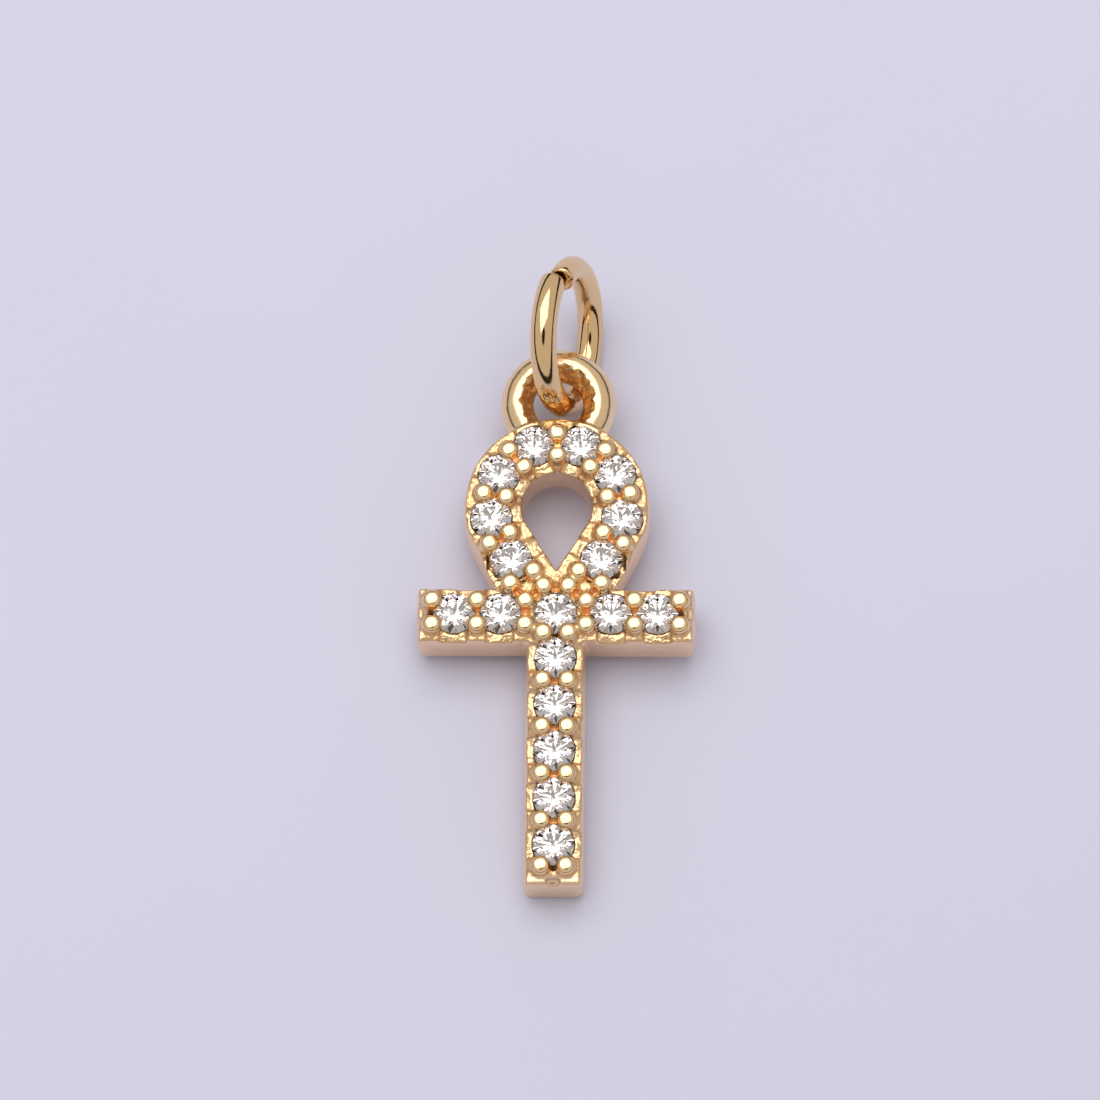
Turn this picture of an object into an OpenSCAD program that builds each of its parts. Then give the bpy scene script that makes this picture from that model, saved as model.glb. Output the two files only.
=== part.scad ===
// Ankh pendant: a small gold plated cast charm, pave set with round brilliants,
// with a thick cast eye on its loop and an open jump ring threaded through the eye.
// It lies on its back as it would on a table, with its eye propped on the ring's wire.
// +X is right, +Y runs from the foot of the post to the jump ring, +Z is up.
// Millimetres and degrees.

/* [Stones] */
// Girdle diameter of each stone
stone_d = 1.25; // [1.1:0.05:1.4]
// Width of the table as a share of the girdle
table_share = 0.56; // [0.5:0.01:0.64]
// Angle of the crown's main facets
crown_angle = 34.5; // [30:0.5:38]
// Angle of the pavilion's main facets
pavilion_angle = 40.8; // [38:0.2:43]
// Thickness of the girdle
girdle_th = 0.04; // [0.02:0.01:0.06]
// How near the culet the lower halves end, as a share of the girdle
lower_share = 0.25; // [0.2:0.01:0.3]
// Gap between a stone and the metal round it
seat_gap = 0.02; // [0.01:0.005:0.04]
// How far each stone leans in its own seat
stone_lean = 1.5; // [0:0.5:3]

/* [Stone rows] */
// Gap between neighbouring girdles round the loop
loop_gap = 0.19; // [0.12:0.01:0.3]
// Gap between neighbouring girdles along the crossbar
bar_gap = 0.14; // [0.1:0.01:0.3]
// Gap between neighbouring girdles down the post
post_gap = 0.185; // [0.1:0.005:0.3]
// Gap from the middle stone to the first stone at its side
middle_side_gap = 0.43; // [0.35:0.01:0.6]
// Gap from the middle stone to the first stone below it
middle_low_gap = 0.13; // [0.1:0.01:0.3]
// Metal beside a stone on the crossbar and the post
lip_w = 0.15; // [0.1:0.01:0.25]
// Metal outside a stone on the loop
loop_outer_lip = 0.075; // [0.05:0.005:0.15]
// Metal inside a stone on the loop
loop_inner_lip = 0.3; // [0.2:0.01:0.45]
// Metal beyond the last girdle on each arm of the crossbar
bar_end = 0.4; // [0.35:0.01:0.8]
// Metal beyond the last girdle at the foot of the post
post_end = 0.55; // [0.45:0.01:1]

/* [Cast body] */
// Thickness from the back to the polished face
body_th = 1.6; // [1.45:0.05:2]
// How far the side walls swell out past the face
wall_swell = 0.13; // [0.05:0.01:0.2]
// Height of the widest line of the walls
belly_z = 0.6; // [0.4:0.05:0.8]
// Radius of the walls' lower edge
foot_r = 0.15; // [0.08:0.01:0.25]
// Radius of the corners at the ends of the bars, seen from above
corner_r = 0.28; // [0.15:0.01:0.4]
// How far the crossbar's metal lies below the row of its stones
bar_drop = 0.06; // [0:0.01:0.1]
// Radius of the circle that the loop's stones follow
loop_path_r = 2.03; // [1.9:0.01:2.3]
// Half angle between the loop's falling outer sides
outer_fall = 27.5; // [24:0.5:30]
// Half angle between the falling sides of the teardrop hole
hole_fall = 31.5; // [30:0.5:36]
// From the end of the loop's rows down to the crossbar's middle line
loop_foot = 1.08; // [1:0.01:1.3]

/* [Prongs] */
// Diameter of each bead prong
prong_d = 0.48; // [0.36:0.01:0.52]
// How high a bead stands over the polished face
prong_rise = 0.3; // [0.24:0.01:0.36]
// Radius of the curve of a bead's head
head_r = 0.32; // [0.27:0.01:0.4]
// Distance of a bead from its row's middle line
prong_side = 0.375; // [0.33:0.005:0.42]
// Same distance for the beads round the loop
loop_prong_side = 0.345; // [0.31:0.005:0.38]
// From the middle stone's centre to the beads beside it
middle_prong_x = 0.92; // [0.86:0.01:1]
// From the middle stone's centre up to the beads over it
middle_prong_y = 0.83; // [0.78:0.01:0.9]
// From the middle stone's centre down to the beads below it
middle_prong_low = 0.625; // [0.6:0.005:0.68]
// From the last stone's centre to the end beads of a bar
end_prong = 0.66; // [0.62:0.01:0.72]
// How much wider the last pair of the loop's rows stands
last_pair_extra = 0.05; // [0:0.01:0.12]
// How far that pair stands back towards its stone
last_pair_back = 0.03; // [0:0.01:0.06]

/* [Bright cuts] */
// How far below the face the metal beside a stone is cut
lip_drop = 0.09; // [0.05:0.01:0.15]
// Length of a cut along its row
lip_len = 0.86; // [0.6:0.02:1]
// Length of a cut inside the loop
inner_lip_len = 0.6; // [0.4:0.02:0.8]
// Slope of a cut, down and outwards
lip_slope = 14; // [5:1:25]
// Length of the short cut at the middle of each bar's end
end_lip_len = 0.42; // [0.3:0.02:0.6]
// How far the end cut reaches into the metal
end_lip_in = 0.17; // [0.1:0.01:0.22]

/* [Eye] */
// Play between the jump ring's wire and the narrowest part of the eye
bore_play = 0.37; // [0.3:0.01:0.45]
// How much the eye's hole widens to its rims
rim_flare = 0.36; // [0.2:0.01:0.4]
// Height of the eye's straight inner land
land_h = 0.24; // [0.1:0.02:0.4]
// Radial width of the eye's metal
eye_band = 1; // [0.9:0.05:1.1]
// Thickness of the eye along its hole
eye_th = 1.2; // [1.1:0.05:1.3]
// How deep the loop's wall cuts into the eye's hole
eye_sink = 0.18; // [0:0.02:0.3]

/* [Jump ring] */
// Outside diameter of the jump ring
jump_od = 5; // [4.8:0.1:5.5]
// Diameter of its wire
wire_d = 0.8; // [0.7:0.05:0.9]
// Opening between its cut ends, along the wire
cut_gap = 0.12; // [0.05:0.01:0.3]
// Where the cut is, from the ring's far point up over its top
cut_at = 60; // [40:1:75]
// How far the ring's plane leans over from upright
ring_lean = 16.5; // [12:0.5:18]
// How far the ring is turned round a vertical line
ring_turn = -9; // [-12:1:-6]
// Where the wire passes through the eye, across
cross_x = 0.18; // [0.12:0.01:0.2]
// Where the wire passes through the eye, lengthways
cross_y = 0.01; // [-0.02:0.01:0.03]
// How far the charm rolls over to its left where it lies
side_roll = 1.5; // [0:0.1:2.5]
// How much higher than a flat wire the leaning ring lifts the eye
ride_up = 0.3; // [0.28:0.01:0.36]

/* [Hidden] */
// Each side of the loop carries 4 stones, each arm of the crossbar 2 and the post 5
side_stones = 4;
arm_stones = 2;
post_stones = 5;
loop_names = [for (i = [1:2 * side_stones]) str("loop_stone_", i)];
bar_names = [for (i = [1:2 * arm_stones + 1]) str("bar_stone_", i)];
post_names = [for (i = [1:post_stones]) str("post_stone_", i)];
$fn = 48;

gold = "#d9b380";
clear = "#e9edf2";
// A small length that carries cutters clear past the faces they cut
past = 0.5;
// The straight sides of the loop leave its circle a hair inside it, at a clean edge
side_in = 0.006;

// Sizes of a stone
stone_r = stone_d / 2;
table_r = stone_r * table_share;
junction_r = (stone_r + table_r) / 2;
culet_side_r = stone_r * lower_share;
half_facet = 22.5;
crown_h = (stone_r - table_r) * tan(crown_angle);
pavilion_h = stone_r * tan(pavilion_angle);
girdle_z = body_th - lip_drop;

// Rows of stones
loop_pitch = stone_d + loop_gap;
bar_pitch = stone_d + bar_gap;
post_pitch = stone_d + post_gap;
first_x = stone_d + middle_side_gap;
first_y = stone_d + middle_low_gap;
path_fall = (outer_fall + hole_fall) / 2;
path_turn = 90 + path_fall;
path_arc = loop_path_r * path_turn * PI / 180;

// Outlines
band_w = stone_d + 2 * lip_w;
loop_r = loop_path_r + stone_r + loop_outer_lip;
hole_r = loop_path_r - stone_r - loop_inner_lip;
bar_half = first_x + (arm_stones - 1) * bar_pitch + stone_r + bar_end;
post_len = first_y + (post_stones - 1) * post_pitch + stone_r + post_end;
loop_drop = loop_foot - path_point(side_stones * loop_pitch)[1];
prong_r = prong_d / 2;

// The eye, with its middle halfway up the body
eye_bore_r = wire_d / 2 + bore_play;
eye_rim_r = eye_bore_r + rim_flare;
eye_out_r = eye_bore_r + eye_band;
eye_z = body_th / 2;
eye_y = loop_r + wall_swell + eye_bore_r - eye_sink;

// How the charm lies: its post's end on the table and its eye on the ring's wire
post_back = post_len + wall_swell;
eye_from_back = post_back + loop_drop + eye_y;
prop_reach = eye_from_back + eye_out_r - eye_th / 2;
prop_h = wire_d + ride_up - (eye_z - eye_th / 2);
tilt = asin(prop_h / prop_reach);
back_side = band_w / 2 + wall_swell - foot_r;
origin_x = -belly_z * sin(side_roll) - back_side * (1 - cos(side_roll));

// The ring passes through the eye at ring_through and its lowest point is on the table
wire_r = wire_d / 2;
ring_r = (jump_od - wire_d) / 2;
ring_through = laid_point([cross_x, eye_from_back + cross_y, eye_z]);
ring_z = wire_r + ring_r * cos(ring_lean);
ring_rise = (ring_through[2] - ring_z) / (ring_r * cos(ring_lean));
ring_back = sqrt(1 - ring_rise * ring_rise);
ring_flat_axis = [-sin(ring_turn), cos(ring_turn), 0];
ring_up_axis = [
    -sin(ring_lean) * cos(ring_turn),
    -sin(ring_lean) * sin(ring_turn),
    cos(ring_lean)
];
ring_mid = ring_through + ring_r * (ring_back * ring_flat_axis - ring_rise * ring_up_axis);

// The whole part's length, from the foot's outer face to the ring's far side, sets the origin
ring_normal_y = cos(ring_lean) * sin(ring_turn);
far_y = ring_mid[1] + ring_r * sqrt(1 - ring_normal_y * ring_normal_y) + wire_r;
near_y = -belly_z * sin(tilt);
origin_y = (far_y + near_y) / 2;

// A point of the charm, measured from the middle of its post's back edge, once it is laid down:
// it rolls about the left edge of the post's flat back, and then its eye is raised
function rolled_point(p) = [
    (p[0] + back_side) * cos(side_roll) - p[2] * sin(side_roll) - back_side,
    p[1],
    (p[0] + back_side) * sin(side_roll) + p[2] * cos(side_roll)
];
function raised_point(p) = [
    p[0] - origin_x,
    p[1] * cos(tilt) - p[2] * sin(tilt),
    p[1] * sin(tilt) + p[2] * cos(tilt)
];
function laid_point(p) = raised_point(rolled_point(p));

// The loop's rows follow a circle from its top and then fall straight to the crossbar.
// s is the distance along the row from the top, on the right side where positive.
function path_angle(s) = min(abs(s), path_arc) / loop_path_r * 180 / PI;
function path_straight(s) = max(abs(s) - path_arc, 0);
function path_point(s) =
    let (a = path_angle(s), d = path_straight(s), side = s < 0 ? -1 : 1)
    [
        side * (loop_path_r * sin(a) - d * sin(path_fall)),
        loop_path_r * cos(a) - d * cos(path_fall)
    ];
function path_heading(s) = (s < 0 ? -1 : 1) * -path_angle(s);

// A wall's outline from the face down: how far it stands past the face's edge, and its height
wall_steps = 5;
foot_steps = 3;
wall_side = concat(
    [
        for (i = [0:wall_steps])
        let (a = 90 * i / wall_steps)
        [wall_swell * sin(a), belly_z + (body_th - belly_z) * cos(a)]
    ],
    [
        for (i = [0:foot_steps])
        let (a = 90 * i / foot_steps)
        [wall_swell - foot_r + foot_r * cos(a), foot_r - foot_r * sin(a)]
    ]
);

// Section of a bar whose face is 2 * half wide
module bar_section(half) {
    right = [for (p = wall_side) [half + p[0], p[1]]];
    left = [for (i = [len(wall_side) - 1:-1:0]) [-half - wall_side[i][0], wall_side[i][1]]];
    polygon(concat(right, left));
}

// Section from an axis out to a wall whose face ends at r
module disc_section(r) {
    wall = [for (p = wall_side) [r + p[0], p[1]]];
    polygon(concat([[0, body_th]], wall, [[0, 0]]));
}

// Section of the teardrop hole: its walls swell inwards as the outer walls swell outwards
module hole_section(r, inner_x) {
    wall = [for (p = wall_side) [r - p[0] * hole_r / loop_r, p[1]]];
    polygon(concat([[inner_x, body_th + past], [r, body_th + past]], wall,
        [[wall[len(wall) - 1][0], -past], [inner_x, -past]]));
}

// One falling straight side of a teardrop, with the section's wall outwards
module falling_side(fall, reach) {
    rotate([0, 0, -fall])
    rotate([90, 0, 0])
    linear_extrude(height = reach)
    children();
}

// The loop: a disc whose straight sides fall into the crossbar
module loop_outside() {
    reach = (loop_drop - loop_r * sin(outer_fall) / 2) / cos(outer_fall);
    rotate_extrude()
    disc_section(loop_r);
    falling_side(outer_fall, reach)
    disc_section(loop_r - side_in);
    mirror([1, 0, 0])
    falling_side(outer_fall, reach)
    disc_section(loop_r - side_in);
}

// The hole: a disc and the kite between its two falling sides
module loop_hole() {
    reach = 2 * hole_r / tan(hole_fall);
    rotate_extrude()
    hole_section(hole_r, 0);
    intersection() {
        falling_side(hole_fall, reach)
        hole_section(hole_r - side_in, -2 * reach);
        mirror([1, 0, 0])
        falling_side(hole_fall, reach)
        hole_section(hole_r - side_in, -2 * reach);
    }
}

// One straight bar, its long axis along X, with swelling walls and round corners
module bar(half_len, half_w) {
    outer_len = half_len + wall_swell;
    outer_w = half_w + wall_swell;
    intersection() {
        rotate([90, 0, 90])
        linear_extrude(height = 2 * outer_len, center = true)
        bar_section(half_w);
        rotate([90, 0, 0])
        linear_extrude(height = 2 * outer_w, center = true)
        bar_section(half_len);
        linear_extrude(height = body_th)
        rounded_plan(outer_len, outer_w);
    }
}

module rounded_plan(half_x, half_y) {
    square([2 * (half_x - corner_r), 2 * half_y], center = true);
    square([2 * half_x, 2 * (half_y - corner_r)], center = true);
    for (x = [-1, 1], y = [-1, 1])
        translate([x * (half_x - corner_r), y * (half_y - corner_r)])
        circle(r = corner_r);
}

// Everything of the charm is placed from the crossing of crossbar and post
module at_loop() {
    translate([0, loop_drop, 0])
    children();
}

module along_loop(s) {
    p = path_point(s);
    at_loop()
    translate([p[0], p[1], 0])
    rotate([0, 0, path_heading(s)])
    children();
}

// Places of the stones, in the order of their names
loop_s = [for (i = [1:2 * side_stones]) (i - side_stones - 0.5) * loop_pitch];
arm_x = [for (i = [0:arm_stones - 1]) first_x + i * bar_pitch];
bar_x = concat([for (i = [arm_stones - 1:-1:0]) -arm_x[i]], [0], arm_x);
post_y = [for (i = [0:post_stones - 1]) -first_y - i * post_pitch];

// Each stone leans a little in a direction of its own, and so does its seat
first_turn = 60;
golden_turn = 137.5;
module seated(i) {
    rotate([0, 0, first_turn + golden_turn * i])
    translate([0, 0, girdle_z])
    rotate([stone_lean, 0, 0])
    children();
}

module at_loop_stone(i) {
    along_loop(loop_s[i])
    seated(i)
    children();
}

module at_bar_stone(i) {
    translate([bar_x[i], 0, 0])
    seated(i + len(loop_s))
    children();
}

module at_post_stone(i) {
    translate([0, post_y[i], 0])
    seated(i + len(loop_s) + len(bar_x))
    children();
}

// A round brilliant with its girdle's middle at the origin and its table up:
// 8 main facets, 8 star facets and 16 halves over the girdle, 8 mains and 16 halves below
mains = 8;
junction_z = girdle_th / 2 + (stone_r - junction_r * cos(half_facet)) * tan(crown_angle);
table_z = girdle_th / 2 + crown_h;
culet_side_z = -girdle_th / 2
    - (stone_r - culet_side_r * cos(half_facet)) * tan(pavilion_angle);
culet_z = -girdle_th / 2 - pavilion_h;

function ring_points(n, r, z, turn) = [
    for (i = [0:n - 1])
    [r * cos(360 * i / n + turn), r * sin(360 * i / n + turn), z]
];

module brilliant() {
    points = concat(
        ring_points(mains, table_r, table_z, 0),
        ring_points(mains, junction_r, junction_z, half_facet),
        ring_points(2 * mains, stone_r, girdle_th / 2, 0),
        ring_points(2 * mains, stone_r, -girdle_th / 2, 0),
        ring_points(mains, culet_side_r, culet_side_z, half_facet),
        [[0, 0, culet_z]]
    );
    star = mains;
    top = 2 * mains;
    low = 4 * mains;
    side = 6 * mains;
    culet = 7 * mains;
    faces = concat(
        [[for (i = [mains - 1:-1:0]) i]],
        [for (i = [0:mains - 1]) [i, (i + 1) % mains, star + i]],
        [for (i = [0:mains - 1]) [i, star + i, top + 2 * i, star + (i + mains - 1) % mains]],
        [for (i = [0:mains - 1]) [star + i, top + 2 * i + 1, top + 2 * i]],
        [for (i = [0:mains - 1]) [star + i, top + (2 * i + 2) % (2 * mains), top + 2 * i + 1]],
        [
            for (i = [0:2 * mains - 1])
            let (j = (i + 1) % (2 * mains))
            [top + i, top + j, low + j, low + i]
        ],
        [for (i = [0:mains - 1]) [low + 2 * i, low + 2 * i + 1, side + i]],
        [for (i = [0:mains - 1]) [low + 2 * i + 1, low + (2 * i + 2) % (2 * mains), side + i]],
        [for (i = [0:mains - 1]) [low + 2 * i, side + i, culet, side + (i + mains - 1) % mains]]
    );
    polyhedron(points = points, faces = faces);
}

// The room that a stone takes, with its gap, open upwards
module stone_room() {
    g = seat_gap;
    rotate_extrude()
    polygon([
        [0, culet_z - 2 * g],
        [culet_side_r + g, culet_side_z - g],
        [stone_r + g, -girdle_th / 2 - g / 2],
        [stone_r + g, girdle_th / 2 + g / 2],
        [junction_r + g, junction_z + g],
        [table_r + g, table_z + g],
        [table_r + g, table_z + past],
        [0, table_z + past]
    ]);
}

// A bead prong: a short post with a domed head, standing on the face
module prong() {
    root = body_th / 2;
    dome_z = prong_rise - head_r;
    translate([0, 0, body_th])
    rotate_extrude()
    intersection() {
        union() {
            translate([0, -root])
            square([head_r, root + dome_z]);
            translate([0, dome_z])
            circle(r = head_r);
        }
        translate([0, -root])
        square([prong_r, root + prong_rise]);
    }
}

module prong_pair(side) {
    for (x = [-side, side])
        translate([x, 0, 0])
        prong();
}

module prongs() {
    // Round the loop, between its stones
    for (i = [1 - side_stones:side_stones - 1])
        along_prongs(i * loop_pitch)
        rotate([0, 0, 90])
        prong_pair(loop_prong_side);
    // The last pair of each side, just over the crossbar
    for (k = [-1, 1])
        along_prongs(k * (side_stones * loop_pitch - last_pair_back))
        rotate([0, 0, 90])
        prong_pair(loop_prong_side + last_pair_extra);
    // Round the middle stone
    translate([0, middle_prong_y, 0])
    prong_pair(prong_side);
    translate([0, -middle_prong_low, 0])
    prong_pair(prong_side);
    for (k = [-1, 1])
        translate([k * middle_prong_x, 0, 0])
        rotate([0, 0, 90])
        prong_pair(prong_side);
    // Along the crossbar
    for (k = [-1, 1]) {
        for (i = [1:arm_stones - 1])
            translate([k * (arm_x[i] - bar_pitch / 2), 0, 0])
            rotate([0, 0, 90])
            prong_pair(prong_side);
        translate([k * (arm_x[arm_stones - 1] + end_prong), 0, 0])
        rotate([0, 0, 90])
        prong_pair(prong_side);
    }
    // Down the post
    for (i = [1:post_stones - 1])
        translate([0, post_y[i] + post_pitch / 2, 0])
        prong_pair(prong_side);
    translate([0, post_y[post_stones - 1] - end_prong, 0])
    prong_pair(prong_side);
}

// Between two stones of the arc the row's beads stand on the chord, a little inside the path
module along_prongs(s) {
    chord_in = loop_path_r * (1 - cos(loop_pitch / loop_path_r * 90 / PI));
    in = path_straight(s) > 0 ? 0 : chord_in;
    along_loop(s)
    translate([0, -in, 0])
    children();
}

// The metal beside a stone is cut down to a bright slope that is lip_drop deep by the girdle
module lip_cut(from_middle, length, inwards) {
    rotate([90, 0, 0])
    linear_extrude(height = length, center = true)
    translate([from_middle, body_th - lip_drop])
    rotate([0, 0, -lip_slope])
    translate([-inwards, 0])
    square([inwards + stone_d, stone_r]);
}

module lip_pair() {
    for (k = [0, 180])
        rotate([0, 0, k])
        lip_cut(stone_r, lip_len, stone_r);
}

module bright_cuts() {
    for (s = loop_s)
        along_loop(s)
        rotate([0, 0, 90]) {
            lip_cut(stone_r, lip_len, stone_r);
            rotate([0, 0, 180])
            lip_cut(stone_r, inner_lip_len, stone_r);
        }
    for (x = bar_x)
        if (abs(x) > 0)
            translate([x, 0, 0])
            rotate([0, 0, 90])
            lip_pair();
    for (y = post_y)
        translate([0, y, 0])
        lip_pair();
    for (k = [0, 180])
        rotate([0, 0, k])
        lip_cut(bar_half - end_lip_in, end_lip_len, 0);
    translate([0, -post_len, 0])
    rotate([0, 0, -90])
    lip_cut(-end_lip_in, end_lip_len, 0);
}

module eye() {
    round_r = eye_th / 2;
    round_x = eye_out_r - round_r;
    half_land = land_h / 2;
    at_loop()
    translate([0, eye_y, eye_z])
    rotate_extrude()
    union() {
        intersection() {
            translate([round_x, 0])
            circle(r = round_r);
            translate([round_x, -round_r])
            square([round_r, eye_th]);
        }
        polygon([
            [eye_bore_r, -half_land],
            [eye_rim_r, -round_r],
            [round_x, -round_r],
            [round_x, round_r],
            [eye_rim_r, round_r],
            [eye_bore_r, half_land]
        ]);
    }
}

module cast_body() {
    difference() {
        union() {
            at_loop()
            loop_outside();
            translate([0, -bar_drop, 0])
            bar(bar_half, band_w / 2);
            translate([0, -post_len / 2, 0])
            rotate([0, 0, 90])
            bar(post_len / 2, band_w / 2);
        }
        at_loop()
        loop_hole();
        bright_cuts();
    }
}

// Lays a piece down and brings it from the crossing to the part's own origin
module laid() {
    translate([-origin_x, -origin_y, 0])
    rotate([tilt, 0, 0])
    translate([-back_side, 0, 0])
    rotate([0, -side_roll, 0])
    translate([back_side, post_back, 0])
    children();
}

module ankh() {
    color(gold)
    laid()
    difference() {
        union() {
            cast_body();
            eye();
            prongs();
        }
        for (i = [0:len(loop_s) - 1])
            at_loop_stone(i)
            stone_room();
        for (i = [0:len(bar_x) - 1])
            at_bar_stone(i)
            stone_room();
        for (i = [0:len(post_y) - 1])
            at_post_stone(i)
            stone_room();
    }
}

module jump_ring() {
    half_cut = cut_gap / 2 / ring_r * 180 / PI;
    color(gold)
    translate([ring_mid[0], ring_mid[1] - origin_y, ring_mid[2]])
    rotate([0, 90 - ring_lean, ring_turn])
    rotate([0, 0, 90 + cut_at + half_cut])
    rotate_extrude(angle = 360 - 2 * half_cut)
    translate([ring_r, 0])
    circle(r = wire_r);
}

module loop_stone(i) {
    color(clear)
    laid()
    at_loop_stone(i)
    brilliant();
}

module bar_stone(i) {
    color(clear)
    laid()
    at_bar_stone(i)
    brilliant();
}

module post_stone(i) {
    color(clear)
    laid()
    at_post_stone(i)
    brilliant();
}

ankh();
jump_ring();
for (i = [0:len(loop_names) - 1])
    loop_stone(i);
for (i = [0:len(bar_names) - 1])
    bar_stone(i);
for (i = [0:len(post_names) - 1])
    post_stone(i);
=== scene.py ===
"""An ankh pendant: a gold plated charm pave set with round clear stones, and its jump ring.
It lies on its back on pale paper, seen from almost straight above, as a shop photographs it.
"""

import math

import bmesh
import bpy
import numpy as np
from mathutils import Matrix, Vector


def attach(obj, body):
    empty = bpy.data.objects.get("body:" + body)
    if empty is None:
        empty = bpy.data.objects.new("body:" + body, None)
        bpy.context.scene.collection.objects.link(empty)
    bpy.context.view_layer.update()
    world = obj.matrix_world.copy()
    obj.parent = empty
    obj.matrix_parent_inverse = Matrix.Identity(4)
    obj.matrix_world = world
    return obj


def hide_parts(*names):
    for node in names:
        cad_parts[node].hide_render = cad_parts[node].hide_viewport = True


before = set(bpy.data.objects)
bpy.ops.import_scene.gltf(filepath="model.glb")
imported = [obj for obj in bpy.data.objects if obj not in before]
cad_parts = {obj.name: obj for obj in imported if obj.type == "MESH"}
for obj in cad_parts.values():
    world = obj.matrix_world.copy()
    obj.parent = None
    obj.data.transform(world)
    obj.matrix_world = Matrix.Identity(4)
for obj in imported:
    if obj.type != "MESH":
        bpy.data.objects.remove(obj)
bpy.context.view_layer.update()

# The charm: cast brass with a thick eye on its loop, raised bead prongs, bright cuts beside
# the stones, tumbled satin side walls and a light gold plating over all of it.
# It is one casting, so it is one piece, with its edges rounded as casting and plating leave them.
MM = 0.001
REMESH = 0.046          # mm, finer than the smallest radius that polishing leaves
CHARM_TRIANGLES = 190000
DOUBLES = 0.0005        # mm, corners of the solid this close are one
LIE_ANGLE = 3.136       # degrees, as the eye rests on the ring's wire
ROLL_LEFT = 1.5         # degrees, as the charm leans over to its left
ROLL_EDGE = 0.755       # mm, from the post's middle line to the edge that it rolled about
FOOT_X, FOOT_Y = 0.016, -9.813  # mm, the middle of the foot's back edge
FACE_HEIGHT = 1.6       # mm, the face over the back
EYE_Y = 15.283          # mm, the eye's middle from the back edge of the foot
EYE_HOLE = 1.13         # mm, the rim of the eye's hole
EYE_EDGE = (1.86, 1.76)  # mm, from the eye's middle, where its polish starts and is full
BEAD_TOP = 0.3          # mm, a bead's top over the face
BEAD_RADIUS = 0.315     # mm, over the plating, so that a bead grips the stones beside it
BEAD_FOOT = -0.06       # mm, the foot under the face, just over the stones' girdles
BEAD_FULLNESS = 3.4     # a full button, flatter on top and steeper at its sides than a half ball
PAIR_APART = (0.6, 0.82)  # mm, beads this far apart share a notch
NOTCH_RADIUS = 0.2      # mm
NOTCH_DEPTH = 0.22      # mm
RIM_WAVES = ((11, 0.03), (17, 0.025), (29, 0.02))  # waves round the eye's hole, their depths in mm
RIM_WIDTH = 0.1         # mm
FOOT_END = (0.3, 0.42)  # mm, from the foot's back edge, where the worn face starts
BAR_END = (4.04, 3.96)  # mm, from the middle line, where the crossbar's worn face starts


def linear(hex_colour):
    """sRGB hex to linear RGBA."""
    parts = [int(hex_colour[i : i + 2], 16) / 255 for i in (1, 3, 5)]
    return tuple(c / 12.92 if c <= 0.04045 else ((c + 0.055) / 1.055) ** 2.4 for c in parts) + (1,)


def add_node(tree, kind, inputs={}, **settings):
    """Adds a node with its settings; an input is a value, or the output that it is fed from."""
    made = tree.nodes.new(kind)
    for name, value in settings.items():
        setattr(made, name, value)
    for name, value in inputs.items():
        if isinstance(value, bpy.types.NodeSocket):
            tree.links.new(value, made.inputs[name])
        else:
            made.inputs[name].default_value = value
    return made


def new_material(name):
    made = bpy.data.materials.new(name)
    made.use_nodes = True
    return made, made.node_tree, made.node_tree.nodes["Principled BSDF"]


def new_piece(name, mesh, *materials):
    piece = bpy.data.objects.new(name, mesh)
    bpy.context.scene.collection.objects.link(piece)
    for material in materials:
        mesh.materials.append(material)
    return piece


def finished_mesh(piece):
    """The piece's mesh with its modifiers applied."""
    made = bpy.data.meshes.new_from_object(
        piece.evaluated_get(bpy.context.evaluated_depsgraph_get()))
    piece.modifiers.clear()
    piece.data = made
    return made


# The charm's own frame: its flat back on z = 0 and its post's back edge on y = 0, in mm
lie = (Matrix.Translation((FOOT_X, FOOT_Y, 0))
    @ Matrix.Rotation(math.radians(LIE_ANGLE), 4, "X")
    @ Matrix.Translation((-ROLL_EDGE, 0, 0))
    @ Matrix.Rotation(math.radians(-ROLL_LEFT), 4, "Y")
    @ Matrix.Translation((ROLL_EDGE, 0, 0)))
flat = lie.inverted()

# A light gold plating on cast brass: warm and pale. The beads and the cuts beside the stones
# are bright; the walls, the face's rest and the eye's cast hole keep a soft tumbled satin.
plating, tree, gold = new_material("gold_plated_cast_brass")
place = add_node(tree, "ShaderNodeTexCoord").outputs["Object"]
upright = add_node(tree, "ShaderNodeMapping", {
    "Vector": place,
    "Scale": (1 / MM,) * 3,
    "Rotation": flat.to_euler("XYZ"),
    "Location": flat.translation,
}).outputs["Vector"]
axes = add_node(tree, "ShaderNodeSeparateXYZ", {"Vector": upright})
flat_place = add_node(tree, "ShaderNodeCombineXYZ", {
    "X": axes.outputs["X"], "Y": axes.outputs["Y"],
})
from_eye = add_node(tree, "ShaderNodeVectorMath", {0: flat_place.outputs[0], 1: (0, EYE_Y, 0)},
    operation="DISTANCE").outputs["Value"]


def ramp(tree, value, start, end, low=0.0, high=1.0):
    """Runs from low to high while the value runs from start to end."""
    return add_node(tree, "ShaderNodeMapRange", {
        "Value": value, "From Min": start, "From Max": end, "To Min": low, "To Max": high,
    }).outputs[0]


def both(tree, first, second, operation="MULTIPLY"):
    """Two masks made one."""
    return add_node(tree, "ShaderNodeMath", {0: first, 1: second}, operation=operation).outputs[0]


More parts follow.
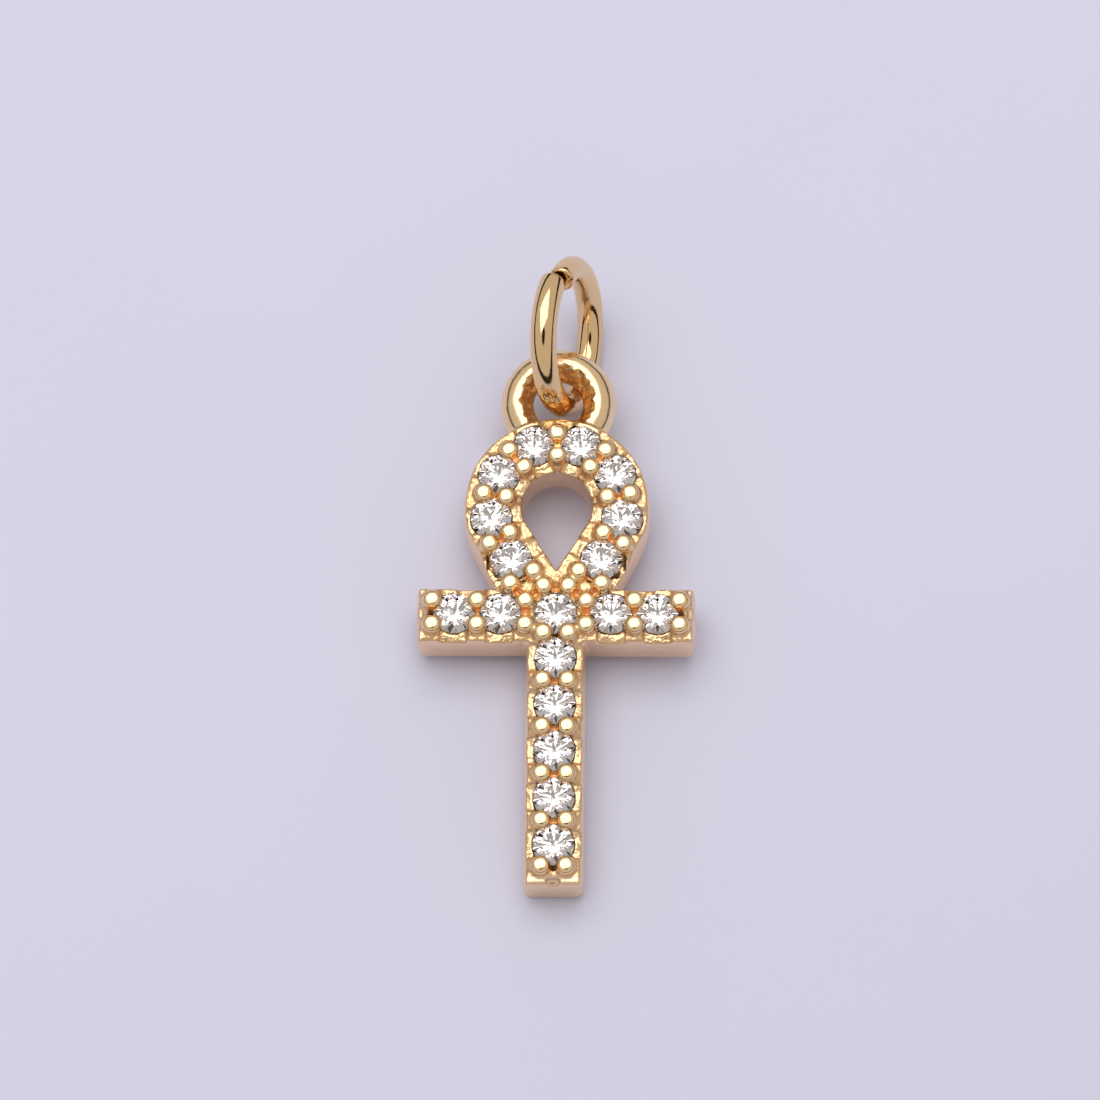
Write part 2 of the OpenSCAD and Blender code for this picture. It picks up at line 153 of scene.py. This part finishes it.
# Where the finish changes: bead tops, the cuts beside the stones, the eye's hole and its outside
on_bead = ramp(tree, axes.outputs["Z"], FACE_HEIGHT + 0.03, FACE_HEIGHT + 0.09)
facing = add_node(tree, "ShaderNodeSeparateXYZ", {
    "Vector": add_node(tree, "ShaderNodeNewGeometry").outputs["Normal"],
}).outputs["Z"]
on_cut = both(tree, ramp(tree, facing, 0.86, 0.92), both(tree,
    ramp(tree, axes.outputs["Z"], FACE_HEIGHT - 0.03, FACE_HEIGHT - 0.07),
    ramp(tree, axes.outputs["Z"], FACE_HEIGHT - 0.3, FACE_HEIGHT - 0.25)))
in_hole = ramp(tree, from_eye, EYE_HOLE, EYE_HOLE - 0.08)
eye_outside = both(tree, ramp(tree, from_eye, *EYE_EDGE), in_hole, "SUBTRACT")
bright = both(tree,
    both(tree, on_bead, both(tree, on_cut, 0.45), "MAXIMUM"), eye_outside, "MAXIMUM")

# Cast grain is finer than this view can show, so it is drawn coarser, about 0.1 mm across
cast_grain = add_node(tree, "ShaderNodeTexNoise", {
    "Vector": upright, "Scale": 9, "Detail": 4, "Roughness": 0.6,
}).outputs["Fac"]
slow_wave = add_node(tree, "ShaderNodeTexNoise", {
    "Vector": upright, "Scale": 1.7, "Detail": 1,
}).outputs["Fac"]
satin_rough = ramp(tree, cast_grain, 0.3, 0.7, 0.27, 0.38)
bright_rough = ramp(tree, cast_grain, 0.3, 0.7, 0.15, 0.24)
rough = add_node(tree, "ShaderNodeMix", {0: bright, 2: satin_rough, 3: bright_rough})
tree.links.new(rough.outputs[0], gold.inputs["Roughness"])
bright_tone = add_node(tree, "ShaderNodeMix", {
    0: slow_wave, 6: linear("#f6d2a0"), 7: linear("#fcdfb6"),
}, data_type="RGBA").outputs[2]

# The low face between the beads, and the eye's hole, are painted a patchy deeper gold: painted
# shade and painted gold-on-gold reflection in these recesses
between_ends = both(tree, ramp(tree, axes.outputs["Y"], *FOOT_END),
    ramp(tree, both(tree, axes.outputs["X"], 0, "ABSOLUTE"), *BAR_END))
low_face = both(tree, both(tree, both(tree, between_ends, ramp(tree, facing, 0.5, 0.8)),
    ramp(tree, axes.outputs["Z"], FACE_HEIGHT - 0.5, FACE_HEIGHT - 0.4)), both(tree,
    ramp(tree, axes.outputs["Z"], FACE_HEIGHT + 0.12, FACE_HEIGHT + 0.02),
    ramp(tree, from_eye, 1.8, 1.9)))
# Painted shade: where the patchy deeper gold of the recesses falls
painted_recess_shade = both(tree, low_face, ramp(tree, cast_grain, 0.35, 0.6, 0.9, 0.35))
# The satin gold, turned to a painted deep gold shade (#e6b87c) in the recesses between the beads
# and in the eye's hole
satin_tone = add_node(tree, "ShaderNodeMix", {
    0: both(tree, painted_recess_shade, both(tree, in_hole, 0.95), "MAXIMUM"),
    6: linear("#f8d8b6"),
    7: linear("#e6b87c"),
}, data_type="RGBA").outputs[2]
tone = add_node(tree, "ShaderNodeMix", {
    0: bright, 6: satin_tone, 7: bright_tone,
}, data_type="RGBA")
tree.links.new(tone.outputs[2], gold.inputs["Base Color"])
gold.inputs["Metallic"].default_value = 1
waves = add_node(tree, "ShaderNodeBump", {
    "Height": slow_wave, "Strength": 0.5, "Distance": 0.03 * MM,
})
pits = add_node(tree, "ShaderNodeTexNoise", {
    "Vector": upright, "Scale": 3.4, "Detail": 2,
}).outputs["Fac"]
rough_places = both(tree, in_hole, both(tree, low_face, 0.7), "MAXIMUM")
rough_hole = add_node(tree, "ShaderNodeBump", {
    "Height": pits, "Strength": rough_places, "Distance": 0.16 * MM, "Normal": waves.outputs[0],
})
skin = add_node(tree, "ShaderNodeBump", {
    "Height": cast_grain, "Strength": ramp(tree, bright, 0, 1, 0.4, 0.08), "Distance": 0.02 * MM,
    "Normal": rough_hole.outputs[0],
})
tree.links.new(skin.outputs[0], gold.inputs["Normal"])

# The solid's own form with a full button on each bead, run together by a fine remesh
form = bmesh.new()
form.from_mesh(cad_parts["ankh"].data)
bmesh.ops.remove_doubles(form, verts=form.verts, dist=DOUBLES * MM)
bmesh.ops.transform(form, matrix=flat @ Matrix.Scale(1 / MM, 4), verts=form.verts)
bead_tops = [v.co.copy() for v in form.verts if v.co.z > FACE_HEIGHT + BEAD_TOP - 0.002]
beads = []
for top in bead_tops:
    if all((top - other).length > BEAD_RADIUS for other in beads):
        beads.append(top)
for top in beads:
    dome = bmesh.ops.create_uvsphere(form, u_segments=32, v_segments=24, radius=1)["verts"]
    for v in dome:
        across = min(1, v.co.xy.length)
        height = (1 - across ** BEAD_FULLNESS) ** (1 / BEAD_FULLNESS) if v.co.z > 0 else 0
        v.co.z = height * (BEAD_TOP - BEAD_FOOT)
    bmesh.ops.scale(form, vec=(BEAD_RADIUS, BEAD_RADIUS, 1), verts=dome)
    bmesh.ops.translate(form, vec=(top.x, top.y, FACE_HEIGHT + BEAD_FOOT), verts=dome)
charm_mesh = bpy.data.meshes.new("cast_charm")
form.to_mesh(charm_mesh)
form.free()
charm = new_piece("cast_charm", charm_mesh)
charm.modifiers.new("plated", "REMESH").voxel_size = REMESH
softened = charm.modifiers.new("softened", "SMOOTH")
softened.factor = 0.5
softened.iterations = 2
charm_mesh = finished_mesh(charm)

# The setter's cuts leave a notch between the two beads of each pair
points = np.empty(3 * len(charm_mesh.vertices), np.float32)
charm_mesh.vertices.foreach_get("co", points)
points = points.reshape(-1, 3)
on_top = np.abs(points[:, 2] - FACE_HEIGHT) < BEAD_TOP
for i, first in enumerate(beads):
    for second in beads[:i]:
        if PAIR_APART[0] < (first - second).length < PAIR_APART[1]:
            near = np.hypot(*(points[:, :2] - np.array((first + second)[:2]) / 2).T)
            cut = on_top & (near < NOTCH_RADIUS)
            points[cut, 2] -= NOTCH_DEPTH * np.cos(near[cut] / NOTCH_RADIUS * np.pi / 2) ** 2
# The rim of the eye's hole is left as cast, and runs in small waves
from_middle = points[:, :2] - np.array((0, EYE_Y))
reach = np.maximum(np.hypot(*from_middle.T), RIM_WIDTH)
bearing = np.arctan2(from_middle[:, 1], from_middle[:, 0])
wave = sum(depth * np.sin(count * bearing + count) for count, depth in RIM_WAVES)
wave *= np.exp(-((reach - EYE_HOLE) / RIM_WIDTH) ** 2)
points[:, :2] += from_middle * (wave / reach)[:, None]
charm_mesh.vertices.foreach_set("co", points.ravel())
thinned = charm.modifiers.new("thinned", "DECIMATE")
thinned.ratio = min(1, CHARM_TRIANGLES / (2 * len(charm_mesh.polygons)))
charm_mesh = finished_mesh(charm)
charm_mesh.transform(Matrix.Scale(MM, 4) @ lie)
charm_mesh.polygons.foreach_set("use_smooth", [True] * len(charm_mesh.polygons))
charm_mesh.materials.clear()
charm_mesh.materials.append(plating)
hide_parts("ankh")
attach(charm, "root")


# The jump ring: round drawn brass wire wound into a ring, cut, plated and closed by hand
# through the cast eye, so its two ends stand a little past each other.
RING_RADIUS = 2.1       # mm, to the wire's middle
WIRE_RADIUS = 0.4       # mm
WIRE_SIDES = 40
RING_MIDDLE = (0.2587, 7.3698, 2.4135)  # mm
RING_LEAN = 16.5        # degrees from upright
RING_TURN = -9          # degrees round a vertical line
CUT_AT = 60             # degrees from the far point up over the top
HALF_CUT = 1.64         # degrees, half of the opening
ENDS_PAST = 0.22        # mm that the ends stand past each other sideways
END_ROUNDING = 0.07     # mm, the edge of a cut end
STEPS = 144

wire = bmesh.new()
bmesh.ops.create_circle(wire, cap_ends=False, segments=WIRE_SIDES, radius=WIRE_RADIUS)
bmesh.ops.rotate(wire, verts=wire.verts, cent=(0, 0, 0),
    matrix=Matrix.Rotation(math.pi / 2, 3, "X"))
bmesh.ops.translate(wire, verts=wire.verts, vec=(RING_RADIUS, 0, -ENDS_PAST / 2))
first_loop = list(wire.edges)
turn = bmesh.ops.spin(wire, geom=wire.verts[:] + wire.edges[:], cent=(0, 0, 0), axis=(0, 0, 1),
    dvec=(0, 0, ENDS_PAST / STEPS), angle=math.radians(360 - 2 * HALF_CUT), steps=STEPS)
last_loop = [e for e in turn["geom_last"] if isinstance(e, bmesh.types.BMEdge)]
for loop in (first_loop, last_loop):
    bmesh.ops.contextual_create(wire, geom=loop)
bmesh.ops.recalc_face_normals(wire, faces=wire.faces)
bmesh.ops.bevel(wire, geom=first_loop + last_loop, offset=END_ROUNDING, offset_type="OFFSET",
    affect="EDGES", segments=3, profile=0.5, material=-1, clamp_overlap=True)
stand = (Matrix.Translation(Vector(RING_MIDDLE))
    @ Matrix.Rotation(math.radians(RING_TURN), 4, "Z")
    @ Matrix.Rotation(math.radians(90 - RING_LEAN), 4, "Y")
    @ Matrix.Rotation(math.radians(90 + CUT_AT + HALF_CUT), 4, "Z"))
bmesh.ops.transform(wire, matrix=Matrix.Scale(MM, 4) @ stand, verts=wire.verts)
for face in wire.faces:
    face.smooth = len(face.verts) < 10
ring_mesh = bpy.data.meshes.new("wire_jump_ring")
wire.to_mesh(ring_mesh)
wire.free()

# Gold plated drawn wire: polished all round, with faint marks and dents about half a mm apart.
wire_plating, tree, gold = new_material("gold_plated_drawn_wire")
place = add_node(tree, "ShaderNodeTexCoord").outputs["Object"]
marks = add_node(tree, "ShaderNodeTexNoise", {
    "Vector": place, "Scale": 2.2 / MM, "Detail": 3, "Roughness": 0.5,
}).outputs["Fac"]
tree.links.new(ramp(tree, marks, 0.3, 0.7, 0.07, 0.13), gold.inputs["Roughness"])
gold.inputs["Base Color"].default_value = linear("#f0cd9c")
gold.inputs["Metallic"].default_value = 1
dents = add_node(tree, "ShaderNodeBump", {
    "Height": marks, "Strength": 0.25, "Distance": 0.02 * MM,
})
tree.links.new(dents.outputs[0], gold.inputs["Normal"])
ring = new_piece("wire_jump_ring", ring_mesh, wire_plating)
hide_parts("jump_ring")
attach(ring, "root")


# The stones: round brilliant cut cubic zirconia, each pushed into its seat and held by beads
# that are shared with its neighbours. Their facets are the solids' own.
# The stone is clear and bends light strongly, which gives it dark and white facets side by side.
zirconia, tree, stone = new_material("cubic_zirconia")
stone.inputs["Base Color"].default_value = linear("#e7e0e4")
stone.inputs["Roughness"].default_value = 0
stone.inputs["Transmission Weight"].default_value = 1
stone.inputs["IOR"].default_value = 2.17
for name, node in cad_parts.items():
    if "stone" in name:
        node.material_slots[0].material = zirconia
        node.data.polygons.foreach_set("use_smooth", [False] * len(node.data.polygons))


# The paper: a pale lavender sheet that the pendant lies on, with a faint fibre.
PAPER_HALF = 0.4        # m
paper, tree, sheet = new_material("lavender_paper")
place = add_node(tree, "ShaderNodeTexCoord").outputs["Object"]
fibre = add_node(tree, "ShaderNodeTexNoise", {
    "Vector": place, "Scale": 60, "Detail": 3,
}).outputs["Fac"]
shade = add_node(tree, "ShaderNodeMix", {
    0: fibre, 6: linear("#dcddf6"), 7: linear("#d8d9f2"),
}, data_type="RGBA")
tree.links.new(shade.outputs[2], sheet.inputs["Base Color"])
sheet.inputs["Roughness"].default_value = 0.7
ground = bmesh.new()
bmesh.ops.create_grid(ground, x_segments=1, y_segments=1, size=PAPER_HALF)
ground_mesh = bpy.data.meshes.new("paper")
ground.to_mesh(ground_mesh)
ground.free()
new_piece("paper", ground_mesh, paper)


# The light: an even pale sky, and one large soft light overhead, a little back and to the left.
SKY_STRENGTH = 0.62
LIGHT_PLACE = (-0.04, 0.09, 0.33)  # m
LIGHT_SIZE = (0.36, 0.3)  # m
LIGHT_WATTS = 0.6
sky = bpy.data.worlds.new("studio")
bpy.context.scene.world = sky
sky.use_nodes = True
sky.node_tree.nodes["Background"].inputs["Color"].default_value = linear("#fffaf2")
sky.node_tree.nodes["Background"].inputs["Strength"].default_value = SKY_STRENGTH
lamp = bpy.data.lights.new("overhead", "AREA")
lamp.shape = "RECTANGLE"
lamp.size, lamp.size_y = LIGHT_SIZE
lamp.energy = LIGHT_WATTS
lamp.color = linear("#fffdf8")[:3]
light = bpy.data.objects.new("overhead", lamp)
light.location = LIGHT_PLACE
light.rotation_euler = (-Vector(LIGHT_PLACE)).to_track_quat("-Z", "Y").to_euler()
bpy.context.scene.collection.objects.link(light)


# The black cloth: hung low in a hoop round the paper, so that the gold has dark edges to mirror.
# The camera doesn't see it directly.
HOOP_RADIUS = 0.38      # m
HOOP_FOOT = 0.006       # m over the paper
HOOP_HEIGHT = 0.08      # m
cloth, tree, weave = new_material("black_cloth")
weave.inputs["Base Color"].default_value = linear("#15110e")
weave.inputs["Roughness"].default_value = 0.9
band = bmesh.new()
bmesh.ops.create_circle(band, cap_ends=False, segments=48, radius=HOOP_RADIUS)
raised = bmesh.ops.extrude_edge_only(band, edges=band.edges[:])
bmesh.ops.translate(band, vec=(0, 0, HOOP_HEIGHT),
    verts=[v for v in raised["geom"] if isinstance(v, bmesh.types.BMVert)])
bmesh.ops.translate(band, vec=(0, 0, HOOP_FOOT), verts=band.verts)
band_mesh = bpy.data.meshes.new("black_cloth")
band.to_mesh(band_mesh)
band.free()
curtain = new_piece("black_cloth", band_mesh, cloth)
curtain.visible_camera = False


# The camera: a long lens almost straight above, and the dark card of its lens shade.
# The card stands just behind the camera's place, unseen by it, and is mirrored in the stones.
VIEW_DISTANCE = 0.130   # m
ELEVATION = 70.5        # degrees
ROLL = 0.62             # degrees
LENS = 139.13           # mm
SENSOR = 36             # mm
NEAREST = 0.005         # m
LENS_SHADE = 0.03       # m
SHADE_BEHIND = 0.004    # m
AIM = Vector((-0.216, 0.911, 1.0)) * MM
rise = math.radians(ELEVATION)
out = Vector((0, -math.cos(rise), math.sin(rise)))
side = (-out).cross(Vector((0, 0, 1))).normalized()
up = side.cross(-out)
lean = math.radians(ROLL)
frame_x = math.cos(lean) * side + math.sin(lean) * up
frame_y = math.cos(lean) * up - math.sin(lean) * side
facing_aim = Matrix((frame_x, frame_y, out)).transposed().to_4x4()

card = bmesh.new()
bmesh.ops.create_circle(card, cap_ends=True, segments=48, radius=LENS_SHADE)
bmesh.ops.transform(card, verts=card.verts,
    matrix=Matrix.Translation(AIM + out * (VIEW_DISTANCE + SHADE_BEHIND)) @ facing_aim)
card_mesh = bpy.data.meshes.new("lens_shade")
card.to_mesh(card_mesh)
card.free()
shade_card = new_piece("lens_shade", card_mesh, cloth)
shade_card.visible_camera = False

lens = bpy.data.cameras.new("camera")
lens.lens = LENS
lens.sensor_width = SENSOR
lens.clip_start = NEAREST
camera = bpy.data.objects.new("camera", lens)
camera.matrix_world = Matrix.Translation(AIM + out * VIEW_DISTANCE) @ facing_aim
bpy.context.scene.collection.objects.link(camera)
bpy.context.scene.camera = camera
bpy.context.scene.view_settings.view_transform = "Standard"
